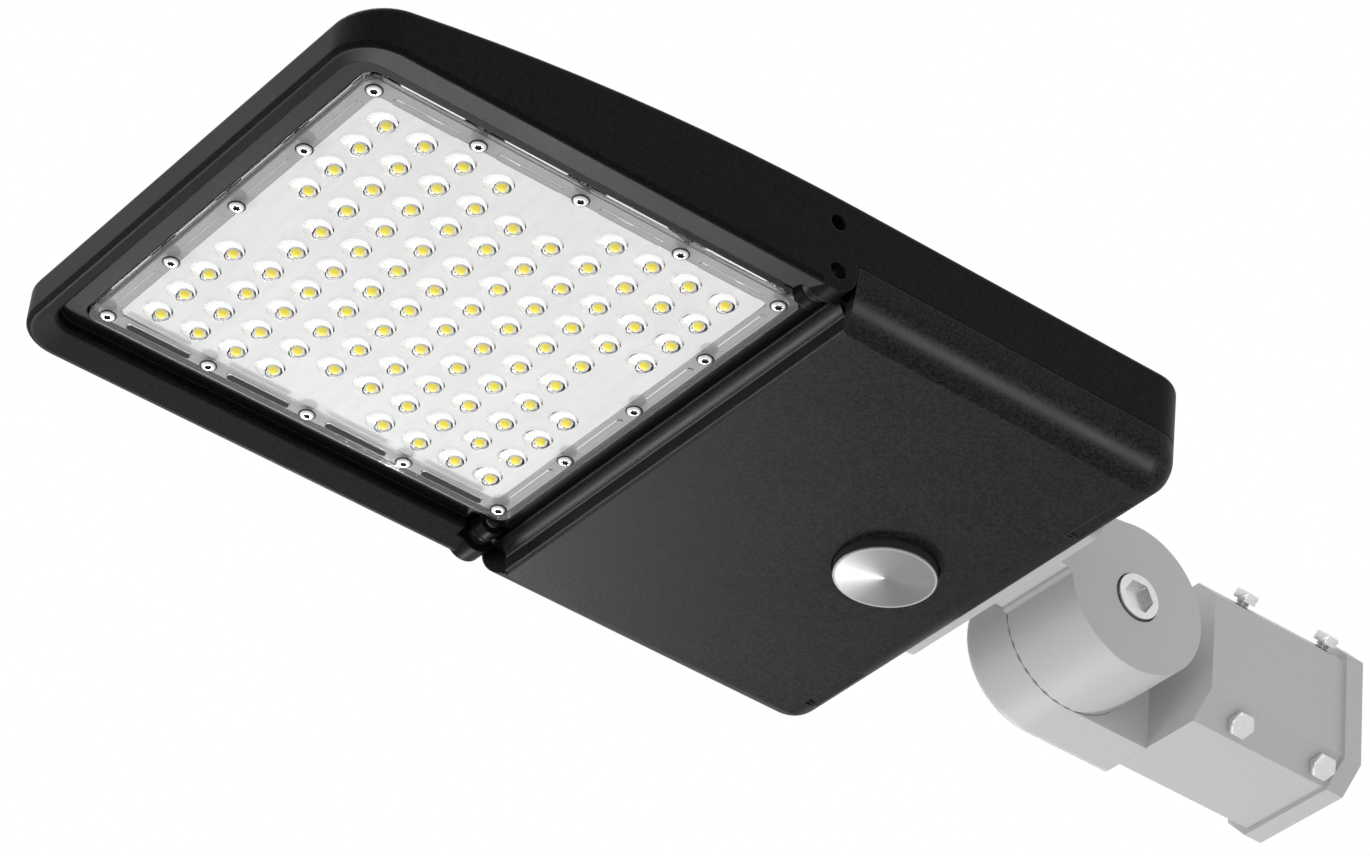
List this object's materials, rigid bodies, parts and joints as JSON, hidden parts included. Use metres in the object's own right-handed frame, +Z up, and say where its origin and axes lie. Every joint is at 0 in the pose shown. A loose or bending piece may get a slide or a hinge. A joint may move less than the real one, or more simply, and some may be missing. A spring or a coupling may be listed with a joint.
{
  "type": "led street light",
  "caption": "Flat street light head: a clear cover of domed lenses over LEDs, a hinged driver door with a press-button latch, and a tilting slip fitter for a pole tenon.",
  "frame": {"origin": "centre of the pole socket's bore, in the plane of its mouth", "axes": "+X from the pole to the lit end of the head, +Z up with the LEDs facing -Z, +Y to the head's left"},
  "size_m": [0.5665, 0.25, 0.0738],
  "materials": {
    "head_black": "fine textured black powder coat on a die casting",
    "door_black": "sand textured black powder coat on a die casting",
    "bracket_grey": "smooth light grey paint on a die casting",
    "bright_steel": "bright zinc plated",
    "spun_metal": "spun and clear lacquered",
    "clear_cover": "clear moulded",
    "board_white": "white solder mask",
    "led_yellow": "yellow phosphor",
    "seal_black": "matt",
    "seal_grey": "matt silicone",
    "driver_case": "satin",
    "terminal_white": "moulded",
    "surge_blue": "moulded",
    "lead_red": "insulation",
    "lead_white": "insulation"
  },
  "bodies": {
    "pole_fitter": {"slip_fitter": "bracket_grey", "set_bolts": "bright_steel", "tilt_screw": "bright_steel", "tilt_washer": "bright_steel", "tilt_nut": "bright_steel"},
    "head": {"tilt_arm": "bracket_grey", "arm_gasket": "seal_black", "arm_bolts": "bright_steel", "housing": "head_black", "led_board": "board_white", "led_chips": "led_yellow", "lens_plate": "clear_cover", "lens_gasket": "seal_grey", "lens_screws": "bright_steel", "driver": "driver_case", "terminal_block": "terminal_white", "surge_protector": "surge_blue", "bay_screws": "bright_steel", "earth_screw": "bright_steel", "led_lead": "lead_red", "input_lead": "lead_white", "wire_grommet": "seal_black", "hinge_pins": "bright_steel", "latch_strike": "bright_steel", "strike_screws": "bright_steel"},
    "door": {"door": "door_black", "door_gasket": "seal_black", "latch_guides": "bright_steel", "guide_screws": "bright_steel", "button_spring": "bright_steel"},
    "button": {"button_cap": "spun_metal", "button_stem": "spun_metal"},
    "latch": {"latch_slide": "bright_steel"}
  },
  "joints": [
    {"name": "head_tilt", "type": "hinge", "parent": "pole_fitter", "child": "head", "pos_m": [0.1235, 0, 0], "axis": [0, -1, 0], "range_deg": [-90, 90]},
    {"name": "door_hinge", "type": "hinge", "parent": "head", "child": "door", "pos_m": [0.34875, 0, -0.0022], "axis": [0, -1, 0], "range_deg": [0, 90]},
    {"name": "button_press", "type": "slide", "parent": "door", "child": "button", "axis": [0, 0, 1], "range_m": [0, 0.0035], "stiffness_N_per_m": 800, "springref_m": -0.003, "deforming": ["button_spring"]},
    {"name": "latch_draw", "type": "slide", "parent": "door", "child": "latch", "axis": [1, 0, 0], "range_m": [0, 0.0035]}
  ],
  "couplings": [
    {"joint": "latch_draw", "follows": "button_press", "ratio": 1}
  ]
}
